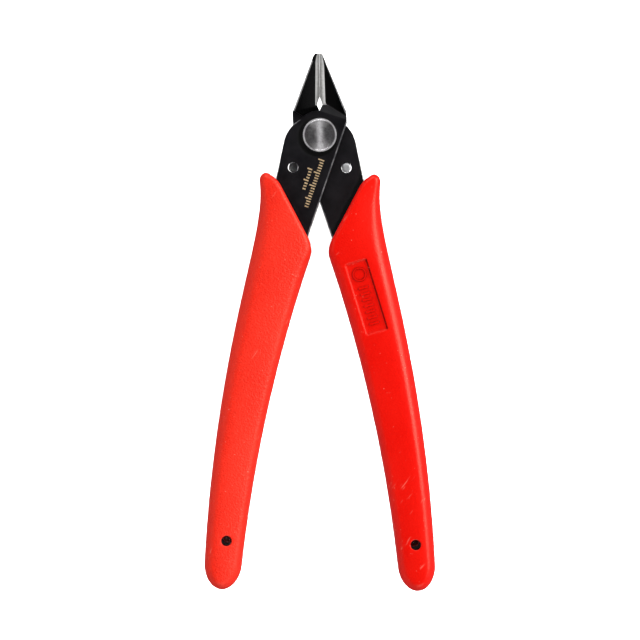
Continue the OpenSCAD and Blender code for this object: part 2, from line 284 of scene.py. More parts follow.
def worn_and_sheen_edge(name, bright, dark):
    look = Look(name, bright, metallic=0.7, roughness=0.4)
    rubbed = look.noise(1.6, 3.0, 0.6)
    shade = look.mix(look.range(rubbed, 0.42, 0.62), dark, bright)
    # Brighter up the jaws: partly wear, and partly a painted highlight along the jaws' eased edges
    up = look.maths("SUBTRACT", look.split()["Y"], PIVOT_Y + 6)
    look.colour(look.mix(look.range(up, -1.0, 1.0, 0.0, 0.8), shade, (0.5, 0.49, 0.5)))
    look.roughness(look.range(look.noise(0.2, 2.0), 0.3, 0.7, 0.3, 0.5))
    look.bump(look.noise(0.12, 2.0), 0.004)
    return look.material


def off_centre(look, x=0.0, y=0.0):
    """The distance in plan from the pivot's axis, or from a point near it."""
    split = look.split()

    def squared(axis, at):
        return look.maths("POWER", look.maths("ABSOLUTE", look.maths("SUBTRACT", split[axis], at)), 2.0)

    return look.maths("POWER", look.maths("ADD", squared("X", PIVOT_X + x), squared("Y", PIVOT_Y + y)), 0.5)


def screw_head_painted_shadow(look):
    """Painted shadow: a black ring on the front plate, a little to the lower left of the screw's head, where
    the head shades it.
    """
    return look.range(off_centre(look, -0.5, -0.4), 4.5, 5.1, 1.0, 0.0)


def grip_mouth_painted_shadow(look):
    """Painted shadow: a black band on the rear plate, along the right grip's mouth, where the grip shades it.
    """
    low, high = Vector((-MOUTH_INNER.x, MOUTH_INNER.y)), Vector((-MOUTH_OUTER.x, MOUTH_OUTER.y))
    across = Vector((high.y - low.y, low.x - high.x)).normalized()
    offset = across.dot(low + Vector((PIVOT_X, PIVOT_Y)))
    split = look.split()
    distance = look.maths("ADD", look.maths("MULTIPLY", split["X"], across.x),
                          look.maths("MULTIPLY", split["Y"], across.y))
    ragged = look.maths("MULTIPLY", look.noise(1.2, 2.0), 0.8)
    return look.range(look.maths("ADD", distance, ragged), offset - 0.9, offset - 0.1)


# The front plate's blacked steel carries the painted shadow round the screw's head
plate_steel = black_oxide("blade_black_oxide", (0.0055, 0.005, 0.006), (0.011, 0.010, 0.012), 0.34, 0.2,
                          painted_shade=screw_head_painted_shadow)
# The rear plate's blacked steel carries the painted shadow along the right grip's mouth
rear_plate_steel = black_oxide("rear_blade_black_oxide", (0.0095, 0.0085, 0.010), (0.0165, 0.015, 0.0175),
                               0.34, 0.24, painted_shade=grip_mouth_painted_shadow)
# A darker copy of the jaws' blacked steel, with less gloss: painted shade for the front blade's jaw, which
# faces away from the light
front_jaw_painted_shade_steel = black_oxide("front_jaw_black_oxide_painted_shade", (0.0001, 0.0001, 0.0001), (0.0003, 0.0003, 0.0003),
                              0.2, 0.03)
jaw_steel = black_oxide("jaw_black_oxide", (0.0004, 0.0004, 0.0005), (0.0011, 0.0010, 0.0012), 0.26, 0.1)
edge_steel = worn_and_sheen_edge("worn_blade_edge_and_sheen", (0.26, 0.255, 0.26), (0.10, 0.10, 0.105))
bend_steel = black_oxide("bend_black_oxide", (0.010, 0.010, 0.011), (0.017, 0.016, 0.018), 0.42, 0.12)


def ground_land():
    """Ground along the cutting edge. It narrows to a tongue at the tip, with blacked steel beside it."""
    look = Look("ground_land", (0.62, 0.62, 0.61), metallic=0.8, roughness=0.34)
    strokes = look.noise(0.11, 2.0, 0.7, 1.2, (0.12, 1, 0.12))
    split = look.split()
    up_jaw = look.maths("SUBTRACT", split["Y"], PIVOT_Y)
    lean = look.maths("MULTIPLY", up_jaw, math.tan(EDGE_LEAN))
    from_line = look.maths("ABSOLUTE", look.maths("ADD", look.maths("SUBTRACT", split["X"], PIVOT_X), lean))
    from_tip = look.maths("MAXIMUM", look.maths("SUBTRACT", JAW_REACH, up_jaw), 0.0)
    tongue_w = look.maths("ADD", look.maths("MULTIPLY", look.maths("SQRT", from_tip), 0.42), 0.33)
    beside = look.range(look.maths("SUBTRACT", from_line, tongue_w), -0.05, 0.05)
    ground = look.ramp(look.range(strokes, 0.3, 0.7),
                       [(0.0, (0.44, 0.44, 0.43)), (1.0, (0.70, 0.695, 0.68))])
    look.colour(look.mix(beside, ground, (0.003, 0.003, 0.003)))
    look.roughness(look.range(strokes, 0.3, 0.7, 0.34, 0.5))
    look.bump(strokes, 0.012)
    look.bump(look.noise(0.8, 2.0, 0.5, 1.2, (1, 0.25, 1)), 0.02)
    return look.material


ground_steel = ground_land()


def bright_metal(name, base, roughness):
    look = Look(name, base, metallic=1.0, roughness=roughness)
    fine = look.noise(0.15, 3.0, 0.6)
    cloud = look.noise(2.2, 3.0, 0.6)
    dark = tuple(c * 0.72 for c in base)
    look.colour(look.mix(look.range(cloud, 0.35, 0.7), dark, base))
    look.roughness(look.range(fine, 0.3, 0.7, roughness - 0.06, roughness + 0.1))
    look.bump(fine, 0.003)
    return look.material


plated_steel = bright_metal("plated_steel", (0.50, 0.50, 0.52), 0.32)
wire_steel = bright_metal("spring_wire", (0.60, 0.60, 0.61), 0.5)


def gold_ink():
    look = Look("pale_gold_print", (0.55, 0.40, 0.22), metallic=0.3, roughness=0.5)
    thin = look.range(look.noise(0.25, 3.0), 0.35, 0.65)
    look.colour(look.mix(thin, (0.26, 0.18, 0.095), (0.56, 0.42, 0.24)))
    look.bump(look.noise(0.1, 2.0), 0.004)
    return look.material


print_gold = gold_ink()


def moulded(name, base, deep, pale, roughness, grain_depth, gloss):
    """Pebbled plastic with small scuffs. Its grain's depth is in millimetres."""
    look = Look(name, base, roughness=roughness, Specular_IOR_Level=gloss, Specular_Tint=(1, 0.82, 0.62, 1))
    pebbles = look.cells(0.38)
    fine = look.noise(0.22, 3.0, 0.6)
    drift = look.noise(9.0, 3.0, 0.55, 12, (1, 0.45, 1))
    shade = look.mix(look.range(drift, 0.35, 0.65), deep, base)
    shade = look.mix(look.range(pebbles, 0.1, 0.75, 0.0, 0.5), shade, pale)
    specks = look.range(look.noise(0.55, 1.0, 0.4), 0.76, 0.80)
    strokes = look.range(look.noise(0.9, 2.0, 0.6, 38, (1, 0.07, 1)), 0.66, 0.74)
    scuffed = look.range(look.noise(7.0, 2.0, 0.5, 20), 0.56, 0.66)
    marks = look.maths("MAXIMUM", specks, look.maths("MULTIPLY", strokes, scuffed))
    look.colour(look.mix(look.maths("MULTIPLY", marks, 0.4), shade, (0.9, 0.30, 0.22)))
    look.roughness(look.range(look.maths("ADD", drift, look.maths("MULTIPLY", fine, 0.5)), 0.5, 1.0,
                              roughness - 0.05, roughness + 0.07))
    look.bump(pebbles, grain_depth)
    look.bump(fine, grain_depth * 0.4)
    return look.material


left_plastic = moulded("left_grip_plastic", (0.69, 0.0125, 0.0035), (0.62, 0.008, 0.002),
                       (0.75, 0.024, 0.010), 0.44, 0.10, 0.40)
right_plastic = moulded("right_grip_plastic", (0.67, 0.0035, 0.0008), (0.61, 0.002, 0.0005),
                        (0.70, 0.006, 0.002), 0.35, 0.035, 0.28)
# Two darker copies, painted shade for walls that the light doesn't reach
right_shadow = moulded("right_grip_crevice_painted_shade", (0.22, 0.001, 0.0004), (0.16, 0.0006, 0.0002),
                       (0.24, 0.002, 0.0006), 0.5, 0.02, 0.1)
bore_shadow = moulded("grip_bore_painted_shade", (0.02, 0.0006, 0.0004), (0.012, 0.0004, 0.0003),
                      (0.025, 0.001, 0.0006), 0.6, 0.02, 0.03)


def paper():
    look = Look("white_sweep", (0.93, 0.93, 0.93), roughness=0.8, Specular_IOR_Level=0.2)
    look.colour(look.ramp(look.noise(40.0, 2.0), [(0.0, (0.92, 0.92, 0.92)), (1.0, (0.94, 0.94, 0.94))]))
    return look.material


white_sweep = paper()


# ---------------------------------------------------------------- mesh helpers

def finished(name, bm, materials, body, slot, *nodes, smooth=35):
    """Turns a bmesh in row-frame metres into a piece that rides on a body."""
    bmesh.ops.recalc_face_normals(bm, faces=bm.faces)
    for face in bm.faces:
        face.smooth = True
    for edge in bm.edges:
        edge.smooth = len(edge.link_faces) == 2 and edge.calc_face_angle(0) < math.radians(smooth)
    mesh = bpy.data.meshes.new(name)
    bm.to_mesh(mesh)
    bm.free()
    for material in materials:
        mesh.materials.append(material)
    piece = bpy.data.objects.new(name, mesh)
    bpy.context.scene.collection.objects.link(piece)
    if body:
        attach(piece, body)
    if nodes:
        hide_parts(*nodes)
    return piece


def even_shading(piece):
    weighted = piece.modifiers.new("even_shading", "WEIGHTED_NORMAL")
    weighted.keep_sharp = True
    weighted.weight = 80


def bridge(bm, low, high, material=0):
    """Joins two closed rings of vertices with quads, of one material or of one for each."""
    count = len(low)
    for i in range(count):
        face = bm.faces.new((low[i], low[(i + 1) % count], high[(i + 1) % count], high[i]))
        face.material_index = material[i] if isinstance(material, list) else material


def inside(point, loop):
    x, y = point
    found = False
    for (ax, ay), (bx, by) in zip(loop, loop[1:] + loop[:1]):
        if (ay > y) != (by > y) and x < (bx - ax) * (y - ay) / (by - ay) + ax:
            found = not found
    return found


# ---------------------------------------------------------------- blades

# A blade's inner edge below the pivot: its slope, and its distance from the pivot
INNER_EDGE, INNER_EDGE_OFFSET = math.radians(19), 5.13
# A point on the cut that clears the other blade's shoulder, and the cut's slope
RELIEF = (3.95, 4.65, math.radians(31))
# Where the jaws begin, above the pivot, and half the width of the two lands together
JAW_FOOT, LANDS_W = 5.5, 1.9
# How upright the normals are: a land slopes 46 degrees, a bend 38 and a jaw's nose 19
LAND_UP, BEND_UP, FLAT_UP = (0.6, 0.78), (0.72, 0.85), 0.9
# How wide the bevel of a fully worn edge is
WORN_W = 0.43
# A blade's finishes, in the order of its materials
PLATE, EDGE, LAND, JAW, BEND = range(5)


def face_finish(x, y, z, up):
    """The finish of a face with its centre at x, y, z along its jaw, and its normal's height."""
    if y <= JAW_FOOT:
        return PLATE
    if LAND_UP[0] < up < LAND_UP[1] and abs(x) < LANDS_W:
        return LAND
    if up > FLAT_UP and z < FRONT_TOP - 0.3:
        return JAW
    if BEND_UP[0] < up < BEND_UP[1] and x > 0:
        return BEND
    return PLATE


def wear(edge, x, y, plan, side):
    """How worn an edge is, from 0 to 1, with its middle at x, y along its jaw and at plan."""
    if len(edge.link_faces) != 2 or edge.calc_face_angle(0) < math.radians(28):
        return 0.0
    in_groove = y > JAW_FOOT - 0.2 and abs(x) < LANDS_W - 0.15
    on_bend = any(face.material_index in (LAND, BEND) for face in edge.link_faces)
    on_top = max(face.normal.z for face in edge.link_faces) > FLAT_UP
    at_leg_hole = on_top and math.hypot(x - LEG.x, y - LEG.y) < 1.6
    at_bore = math.hypot(x, y) < 2.5
    tiny = edge.calc_length() < 0.09 * MM
    hollow = edge.calc_face_angle_signed(0) < 0
    under_head = math.hypot(plan.x, plan.y) < 7 and -4.9 < plan.x < 0 < plan.y
    from_relief = (x - RELIEF[0]) * math.sin(RELIEF[2]) - (y - RELIEF[1]) * math.cos(RELIEF[2])
    on_relief = x > 3.5 and abs(from_relief) < 0.2
    if in_groove or on_bend or at_leg_hole or at_bore or tiny or hollow or under_head or on_relief:
        return 0.0
    if y > 6:
        return 1.0
    off_edge = side * plan.x * math.cos(INNER_EDGE) - plan.y * math.sin(INNER_EDGE) - INNER_EDGE_OFFSET
    return 0.7 if abs(off_edge) < 0.05 else 0.35


def blade(node, name, body, side, plate, jaw):
    """The CAD blade with eased, worn edges, and a finish for each ground or blacked face."""
    bm = bmesh.new()
    bm.from_mesh(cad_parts[node].data)
    bmesh.ops.remove_doubles(bm, verts=bm.verts, dist=0.002 * MM)
    bmesh.ops.dissolve_limit(bm, angle_limit=math.radians(0.8), verts=bm.verts, edges=bm.edges)
    turn = Matrix.Rotation(-JAW_LEAN, 3, "Z")

    def along_jaw(plan):
        """A point from the pivot's axis, seen with this blade's jaw upright and to the right."""
        local = turn @ plan
        return side * local.x, local.y, local.z

    axis = placed(0, 0, 0)
    for face in bm.faces:
        plan = (face.calc_center_median() - axis) / MM
        face.material_index = face_finish(*along_jaw(plan), face.normal.z)
    crease = [edge for edge in bm.edges
              if {face.material_index for face in edge.link_faces} == {JAW, BEND}]
    bmesh.ops.bevel(bm, geom=crease, offset=0.13 * MM, segments=1, affect="EDGES", material=JAW)
    worn = bm.edges.layers.float.new("bevel_weight_edge")
    for edge in bm.edges:
        plan = ((edge.verts[0].co + edge.verts[1].co) / 2 - axis) / MM
        x, y, _ = along_jaw(plan)
        edge[worn] = wear(edge, x, y, plan, side)
    piece = finished(name, bm, [plate, edge_steel, ground_steel, jaw, bend_steel], body,
                     "blade_steel", node)
    ease = piece.modifiers.new("ease", "BEVEL")
    ease.limit_method = "WEIGHT"
    ease.width = WORN_W * MM
    ease.segments = 3
    ease.material = EDGE
    ease.use_clamp_overlap = False
    even_shading(piece)
    return piece


blades = [blade("rear_blade", "rear_blade_steel", "rear_half", -1, rear_plate_steel, jaw_steel),
          blade("front_blade", "front_blade_steel", "front_half", 1, plate_steel, front_jaw_painted_shade_steel)]


# ---------------------------------------------------------------- pivot

def turned_piece(name, profile, material, body, slot, *nodes):
    """A profile of (radius, height) points, turned about the pivot's axis."""
    steps = 128
    bm = bmesh.new()
    rings = []
    for radius, height in profile:
        if radius == 0:
            rings.append([bm.verts.new(placed(0, 0, height))])
        else:
            rings.append([bm.verts.new(placed(radius * math.cos(a), radius * math.sin(a), height))
                          for a in (2 * math.pi * i / steps for i in range(steps))])
    for low, high in zip(rings, rings[1:]):
        for i in range(steps):
            j = (i + 1) % steps
            if len(low) == 1:
                bm.faces.new((low[0], high[j], high[i]))
            elif len(high) == 1:
                bm.faces.new((low[i], low[j], high[0]))
            else:
                bm.faces.new((low[i], low[j], high[j], high[i]))
    return finished(name, bm, [material], body, slot, *nodes, smooth=30)


# The screw's head, and the plain bevel round its face
HEAD_T, HEAD_R, RIM = 1.5, 4.0, 0.42
HEAD_TOP = FRONT_TOP + HEAD_T
FACE_R, FACE_STEPS = HEAD_R - RIM, 60
SHANK_R, THREAD_R, ROOT_R, THREAD_PITCH = 2.0, 1.5, 1.36, 0.5
NUT_Z = 0.5


def head_height(r):
    """A turned face: a shallow dish with tool rings on it, and a small centre mark."""
    rings = 0.008 * math.sin(2 * math.pi * r / 0.36)
    centre = 0.03 * math.exp(-(r / 0.3) ** 2)
    return HEAD_TOP - 0.05 + 0.05 * (r / FACE_R) ** 2 + rings - centre


def screw_profile():
    """From the middle of the screw's face, down its head, shank and thread, to its end."""
    radii = [(FACE_R - 0.06) * i / FACE_STEPS for i in range(FACE_STEPS + 1)]
    profile = [(r, head_height(r)) for r in radii]
    profile += [(FACE_R, HEAD_TOP - 0.02), (FACE_R + 0.05, HEAD_TOP - 0.06),
                (HEAD_R - 0.05, HEAD_TOP - RIM + 0.04), (HEAD_R, HEAD_TOP - RIM - 0.02),
                (HEAD_R, FRONT_TOP + 0.08), (HEAD_R - 0.08, FRONT_TOP),
                (SHANK_R, FRONT_TOP), (SHANK_R, REAR_BACK), (THREAD_R, REAR_BACK)]
    z = REAR_BACK - 0.05
    while z > NUT_Z + 0.3:
        profile += [(THREAD_R, z), (THREAD_R, z - 0.1), (ROOT_R, z - 0.25), (ROOT_R, z - 0.3)]
        z -= THREAD_PITCH
    return profile + [(THREAD_R, NUT_Z + 0.2), (1.32, NUT_Z + 0.02), (1.2, NUT_Z), (0.5, NUT_Z),
                      (0, NUT_Z + 0.04)]


def turned_face():
    """Turned steel. The marks fade out at the centre, and end at the plain bevel round the face."""
    look = Look("turned_face", (0.5, 0.49, 0.5), metallic=1.0, roughness=0.34, Anisotropic=0.8,
                Anisotropic_Rotation=0.25)
    links, shader = look.tree.links, look.shader
    tangent = look.node("Tangent", direction_type="RADIAL", axis="Z")
    links.new(tangent.outputs[0], shader.inputs["Tangent"])
    smear = look.noise(1.1, 4.0, 0.65)
    look.colour(look.ramp(look.range(smear, 0.3, 0.7),
                          [(0.0, (0.42, 0.40, 0.42)), (1.0, (0.80, 0.79, 0.80))]))
    from_axis = off_centre(look)
    on_bevel = look.range(from_axis, FACE_R - 0.03, FACE_R + 0.03)
    marks = look.maths("MULTIPLY", look.range(from_axis, 0.3, 1.6, 0.1, 0.76),
                       look.maths("SUBTRACT", 1.0, on_bevel))
    links.new(marks, shader.inputs["Anisotropic"])
    dull = look.maths("ADD", look.range(look.noise(0.3, 3.0, 0.6), 0.3, 0.7, 0.26, 0.44),
                      look.range(from_axis, 0.3, 1.6, 0.3, 0.0))
    look.roughness(look.maths("SUBTRACT", dull, look.maths("MULTIPLY", on_bevel, 0.16)))
    look.bump(look.noise(0.14, 2.0), 0.003)
    return look.material


screw = turned_piece("pivot_screw_turned", screw_profile(), turned_face(),
                     "rear_half", "bright_steel", "pivot_screw")


def trim_node(node, material, width):
    """A CAD node kept as it is, with its edges eased by width and a better finish."""
    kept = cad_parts[node]
    kept.data.materials.clear()
    kept.data.materials.append(material)
    weld = kept.modifiers.new("weld", "WELD")
    weld.merge_threshold = 0.002 * MM
    ease = kept.modifiers.new("ease", "BEVEL")
    ease.width = width * MM
    ease.segments = 3
    ease.limit_method = "ANGLE"
    ease.angle_limit = math.radians(28)
    ease.harden_normals = True


trim_node("disc_washer", plated_steel, 0.06)
trim_node("lock_nut", plated_steel, 0.1)


# ---------------------------------------------------------------- return spring

WIRE_R, WIRE_SIDES = 1.05, 32
SPRING_R, SPRING_STEPS = 4.7, 60
LEG_BEND = 1.5
WIRE_Z = REAR_BACK - 0.1 - WIRE_R
# How far each leg leans outwards, where it leaves the loop
SPLAY = math.acos(SPRING_R / LEG.length) - math.atan(LEG.y / LEG.x)


def leg(end_z):
    """The left leg, from its end at end_z, down and round its bend, to the loop."""
    along = Vector((math.sin(SPLAY), math.cos(SPLAY), 0))
    bend = LEG + LEG_BEND * along + Vector((0, 0, WIRE_Z + LEG_BEND))
    points = [Vector((LEG.x, LEG.y, end_z - (end_z - WIRE_Z - LEG_BEND) * i / 6)) for i in range(6)]
    points += [bend - LEG_BEND * (math.cos(a) * along + Vector((0, 0, math.sin(a))))
               for a in (math.radians(7.5 * i) for i in range(13))]
    start = points[-1]
    end = Vector((-SPRING_R * math.cos(SPLAY), SPRING_R * math.sin(SPLAY), WIRE_Z))
    return points + [start.lerp(end, i / 6) for i in range(1, 7)]


def spring_route():
    """From the front blade's hole, round the pivot behind the plates, to the rear blade's hole."""
    route = leg(FRONT_TOP - 1.5)
    for i in range(1, SPRING_STEPS):
        a = math.pi - SPLAY - (math.pi - 2 * SPLAY) * i / SPRING_STEPS
        route.append(Vector((SPRING_R * math.cos(a), SPRING_R * math.sin(a), WIRE_Z)))
    right_leg = [Vector((-p.x, p.y, p.z)) for p in leg(MID_Z - 0.1)]
    return route + right_leg[::-1]


def swept(name, route, radius, sides, material, slot, *nodes):
    """Round wire along a route, with its two ends faced flat and their rims eased."""
    bm = bmesh.new()
    turns = [2 * math.pi * k / sides for k in range(sides)]
    rings = []
    across = Vector((-1, 0, 0))
    count = len(route)
    for i, point in enumerate(route):
        ahead = (route[min(i + 1, count - 1)] - route[max(i - 1, 0)]).normalized()
        across = (across - across.dot(ahead) * ahead).normalized()
        other = ahead.cross(across)
        # How far along each ring is, and its share of the radius
        sizes = [(0, 1.0)]
        if i == 0:
            sizes = [(0, 0.0), (0, 0.55), (0, 0.86), (0.12, 1.0)]
        if i == count - 1:
            sizes = [(-0.12, 1.0), (0, 0.86), (0, 0.55), (0, 0.0)]
        for shift, share in sizes:
            middle = point + shift * ahead
            if share == 0:
                rings.append([bm.verts.new(placed(*middle))])
            else:
                spots = [middle + share * radius * (math.cos(a) * across + math.sin(a) * other)
                         for a in turns]
                rings.append([bm.verts.new(placed(*spot)) for spot in spots])
    for low, high in zip(rings, rings[1:]):
        if len(low) == 1:
            for k in range(sides):
                bm.faces.new((low[0], high[k], high[(k + 1) % sides]))
        elif len(high) == 1:
            for k in range(sides):
                bm.faces.new((low[k], high[0], low[(k + 1) % sides]))
        else:
            bridge(bm, low, high)
    piece = finished(name, bm, [material], None, slot, smooth=40)
    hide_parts(*nodes)
    return piece


spring = swept("return_spring_wire", spring_route(), WIRE_R, WIRE_SIDES, wire_steel, "spring_wire",
               "return_spring")
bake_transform(spring)


# ---------------------------------------------------------------- grips

# A handle's middle line is an arc: its radius, and a point and the heading there
BOW_R = 357.0
BOW_MID = Vector((-16.99, -59.7))
BOW_HEADING = math.radians(11.5)
GRIP_LENGTH = 99.0
# Half the width at each end, without the lip, and the length of the round end
END_W, HEAD_W = 4.29, 7.25
END_ROUND = 6.0
# The lip that stops the hand: how far out it flares, over what length, and its corners
LIP_FLARE, LIP_LENGTH = 5.0, 6.8
LIP_TOP = Vector((-12.8, -8.55))
LIP_CORNER = Vector((-14.15, -9.75))
LIP_SIDE = Vector((-4.0, -1.0))
# How much lower down its handle the right grip sits
STAGGER = 0.4
TETHER_R = 1.2
# How far each tether hole is from its grip's lower end, and inwards from its middle
LEFT_TETHER, RIGHT_TETHER = (12.0, 0.4), (11.4, -0.1)

bow_centre = BOW_MID + BOW_R * Vector((math.cos(BOW_HEADING), -math.sin(BOW_HEADING)))
end_angle = math.asin((JAW_REACH - LENGTH - bow_centre.y) / BOW_R) + STAGGER / BOW_R


def heading(u):
    return end_angle + u / BOW_R


def on_bow(u, outwards=0.0):
    """A plan point from how far it is along the bow, and outwards from it."""
    h = heading(u)
    return bow_centre + (BOW_R + outwards) * Vector((-math.cos(h), math.sin(h)))


def off_bow(point):
    """How far a plan point is along the bow, and outwards from it."""
    arm = point - bow_centre
    return (math.atan2(arm.y, -arm.x) - end_angle) * BOW_R, arm.length - BOW_R


def inner_w(u):
    return END_W + (HEAD_W - END_W) * u / GRIP_LENGTH


def outer_w(u):
    return inner_w(u) + LIP_FLARE * math.exp((u - GRIP_LENGTH) / LIP_LENGTH)


def cross(a, b):
    return a.x * b.y - a.y * b.x


def cut_at(points, a, b):
    """The points up to where they cross the line from a to b, and the crossing."""
    kept = [points[0]]
    for p, q in zip(points, points[1:]):
        before, after = cross(b - a, p - a), cross(b - a, q - a)
        if before * after < 0:
            kept.append(p.lerp(q, before / (before - after)))
            return kept
        kept.append(q)
    return kept


def resampled(points, step):
    """A closed outline as evenly spaced points."""
    closed = points + points[:1]
    total = sum((q - p).length for p, q in zip(closed, closed[1:]))
    count = int(total / step)
    step = total / count
    out, run, want = [], 0.0, 0.0
    for p, q in zip(closed, closed[1:]):
        length = (q - p).length
        while want < run + length - 1e-9 and len(out) < count:
            out.append(p.lerp(q, (want - run) / length))
            want += step
        run += length
    return out


def softened(values, rounds):
    """Repeated averaging with neighbours round a closed list, rounds[i] times at i."""
    values = list(values)
    for k in range(max(rounds)):
        before = values[:]
        for i, much in enumerate(rounds):
            if k < much:
                values[i] = 0.5 * before[i] + 0.25 * (before[i - 1] + before[(i + 1) % len(before)])
    return values


OUTLINE_STEP = 0.3
# Corners of the mouth end, and how many rounds of averaging round each off
CORNERS = [(MOUTH_INNER, 60, 7.0), (MOUTH_OUTER, 12, 2.4), (LIP_TOP, 14, 2.2), (LIP_CORNER, 14, 2.2)]


def grip_outline():
    """The left grip in plan, clockwise from its lower end."""
    end = [(END_ROUND * (1 - math.cos(a)), math.sin(a)) for a in (math.radians(3 * i) for i in range(30))]
    length = [(END_ROUND + i * (GRIP_LENGTH + 4 - END_ROUND) / 200, 1.0) for i in range(201)]
    outer = [on_bow(u, outer_w(u) * share) for u, share in end + length]
    inner = [on_bow(u, -inner_w(u) * share) for u, share in end[1:] + length]
    outer = cut_at(outer, LIP_CORNER + LIP_SIDE, LIP_CORNER)
    inner = cut_at(inner, MOUTH_INNER, MOUTH_OUTER)
    points = resampled(outer + [LIP_CORNER, LIP_TOP, MOUTH_OUTER] + inner[::-1], OUTLINE_STEP)
    rounds = []
    for p in points:
        most = 0
        for corner, much, reach in CORNERS:
            most = max(most, int(much * max(0.0, min(1.0, 1.6 * (1 - (p - corner).length / reach)))))
        rounds.append(most)
    return softened(points, rounds)


def step_between(x, low, high):
    t = max(0.0, min(1.0, (x - low) / (high - low)))
    return t * t * (3 - 2 * t)


# How far in the edge is rounded: at the sides, as shares of the half width, at the round
# end, and round the mouth, where part of the side stays upright. Then both are evened out
SIDE_OUTER, SIDE_INNER, SIDE_LEAST = 0.50, 0.34, 1.9
END_SIDE, MOUTH_ROUND, MOUTH_UPRIGHT = 2.1, 1.1, 0.74
FORM_ROUNDS = 120
# The face is highest along a ridge, this share of the way to the outer side, and falls
# gently inwards from it and faster outwards
RIDGE, INNER_FALL, OUTER_FALL = 0.36, 1.3, 0.55
RING_ANGLES = [0, 5, 11, 18, 26, 34, 42, 50, 58, 66, 74, 82, 90]


def edge_form(points):
    """For each outline point: how far the rounding reaches in, and its upright share."""
    depth, upright = [], []
    mouth_dir = (MOUTH_OUTER - MOUTH_INNER).normalized()
    for p in points:
        u, out = off_bow(p)
        half = (inner_w(u) + outer_w(u)) / 2
        side = half * (SIDE_OUTER if out > 0 else SIDE_INNER)
        side = max(SIDE_LEAST, side)
        side = min(side, MOUTH_ROUND + 0.17 * max(0.0, (LIP_TOP - p).length - 1.5))
        if u < END_ROUND:
            side = END_SIDE
        behind = abs(cross(mouth_dir, p - MOUTH_INNER))
        top = 1.0 if behind < 1.4 else 0.0
        if p.y > LIP_CORNER.y - 2.5 and u > 90:
            top = 1.0
        depth.append(side + (MOUTH_ROUND - side) * top)
        upright.append(MOUTH_UPRIGHT * top)
    rounds = [FORM_ROUNDS] * len(points)
    return softened(depth, rounds), softened(upright, rounds)


def crown(point):
    """Height of the face at a plan point."""
    u, out = off_bow(point)
    ridge = RIDGE * outer_w(u)
    if out > ridge:
        drop = OUTER_FALL * min(1.0, (out - ridge) / (outer_w(u) - ridge)) ** 1.6
    else:
        drop = INNER_FALL * min(1.0, (ridge - out) / (inner_w(u) + ridge)) ** 1.7
    return GRIP_T - drop * step_between(GRIP_LENGTH + 2 - u, -2, 10)


def inward_normals(points):
    count = len(points)
    out = []
    for i in range(count):
        along = points[(i + 1) % count] - points[i - 1]
        out.append(Vector((along.y, -along.x)).normalized())
    return out


def inset_rings(points, depth):
    """The outline at each ring angle, moved inwards in small steps so that it never folds."""
    rings = [points]
    current = points
    shares = [1 - math.cos(math.radians(a)) ** 0.9 for a in RING_ANGLES]
    shares[-1] = 1.0
    for before, after in zip(shares, shares[1:]):
        steps = max(1, int((after - before) / 0.03))
        for _ in range(steps):
            normals = inward_normals(current)
            moved = [p + n * d * (after - before) / steps for p, n, d in zip(current, normals, depth)]
            current = softened(moved, [2] * len(moved))
        rings.append(current)
    return rings


def circle(centre, radius, count):
    return [centre + radius * Vector((math.cos(2 * math.pi * i / count), math.sin(2 * math.pi * i / count)))
            for i in range(count)]


def rounded_box(centre, size, radius, turn, per_corner=6):
    points = []
    for sx, sy, start in ((1, 1, 0), (-1, 1, 90), (-1, -1, 180), (1, -1, 270)):
        for i in range(per_corner + 1):
            a = math.radians(start + 90 * i / per_corner)
            points.append(Vector((sx * (size[0] / 2 - radius) + radius * math.cos(a),
                                  sy * (size[1] / 2 - radius) + radius * math.sin(a))))
    spin = Matrix.Rotation(turn, 2)
    dense = []
    for p, q in zip(points, points[1:] + points[:1]):
        parts = max(1, int((q - p).length / 0.8))
        dense += [p.lerp(q, i / parts) for i in range(parts)]
    return [centre + spin @ p for p in dense]


def filled(bm, loops, spacing, height, place):
    """Fills between rings of vertices, the first one outside, with points spaced over the face.
    Each loop is its plan points and its vertices."""
    plan, verts, edges = [], [], []
    for points, ring in loops:
        first = len(plan)
        plan += [Vector(p) for p in points]
        verts += ring
        edges += [(first + i, first + (i + 1) % len(points)) for i in range(len(points))]
    outer = [tuple(p) for p in loops[0][0]]
    holes = [[tuple(p) for p in points] for points, _ in loops[1:]]
    edge_points = plan[:]
    xs, ys = [p[0] for p in outer], [p[1] for p in outer]
    rows = int((max(ys) - min(ys)) / spacing) + 1
    for r in range(rows):
        y = min(ys) + (r + 0.5) * spacing
        for c in range(int((max(xs) - min(xs)) / spacing) + 2):
            x = min(xs) + (c + 0.5 * (r % 2)) * spacing
            if not inside((x, y), outer) or any(inside((x, y), h) for h in holes):
                continue
            if min((p.x - x) ** 2 + (p.y - y) ** 2 for p in edge_points) < (0.55 * spacing) ** 2:
                continue
            plan.append(Vector((x, y)))
            verts.append(bm.verts.new(place(Vector((x, y)), height(Vector((x, y))))))
    points, _, faces, origins, _, _ = delaunay_2d_cdt(plan, edges, [], 0, 1e-7)
    for face in faces:
        middle = sum((points[i] for i in face), Vector((0, 0))) / len(face)
        if not inside(middle, outer) or any(inside(middle, h) for h in holes):
            continue
        corners = [verts[origins[i][0]] for i in face]
        if len(set(corners)) == 3:
            bm.faces.new(corners)


# Around the tether hole, how much wider each ring is, and how far below the face
TETHER_RIM = ((0.28, 0.0), (0.12, 0.04), (0.02, 0.16), (0.0, 0.35))
# The back is flatter than the face, which falls by this share of as much
BACK_SHARE = 0.25
PANEL_SIZE, PANEL_DEPTH, PANEL_CORNER = (5.2, 17.5), 0.45, 0.5
PANEL_FROM_END, PANEL_INWARDS, PANEL_SKEW = 71.2, 0.94, math.radians(2)
# The panel's wall, how far outside its outline each ring is, and how far below the face
PANEL_WALL = ((0.32, 0.0), (0.12, 0.03), (0.0, 0.12), (-0.06, PANEL_DEPTH - 0.1), (-0.2, PANEL_DEPTH))
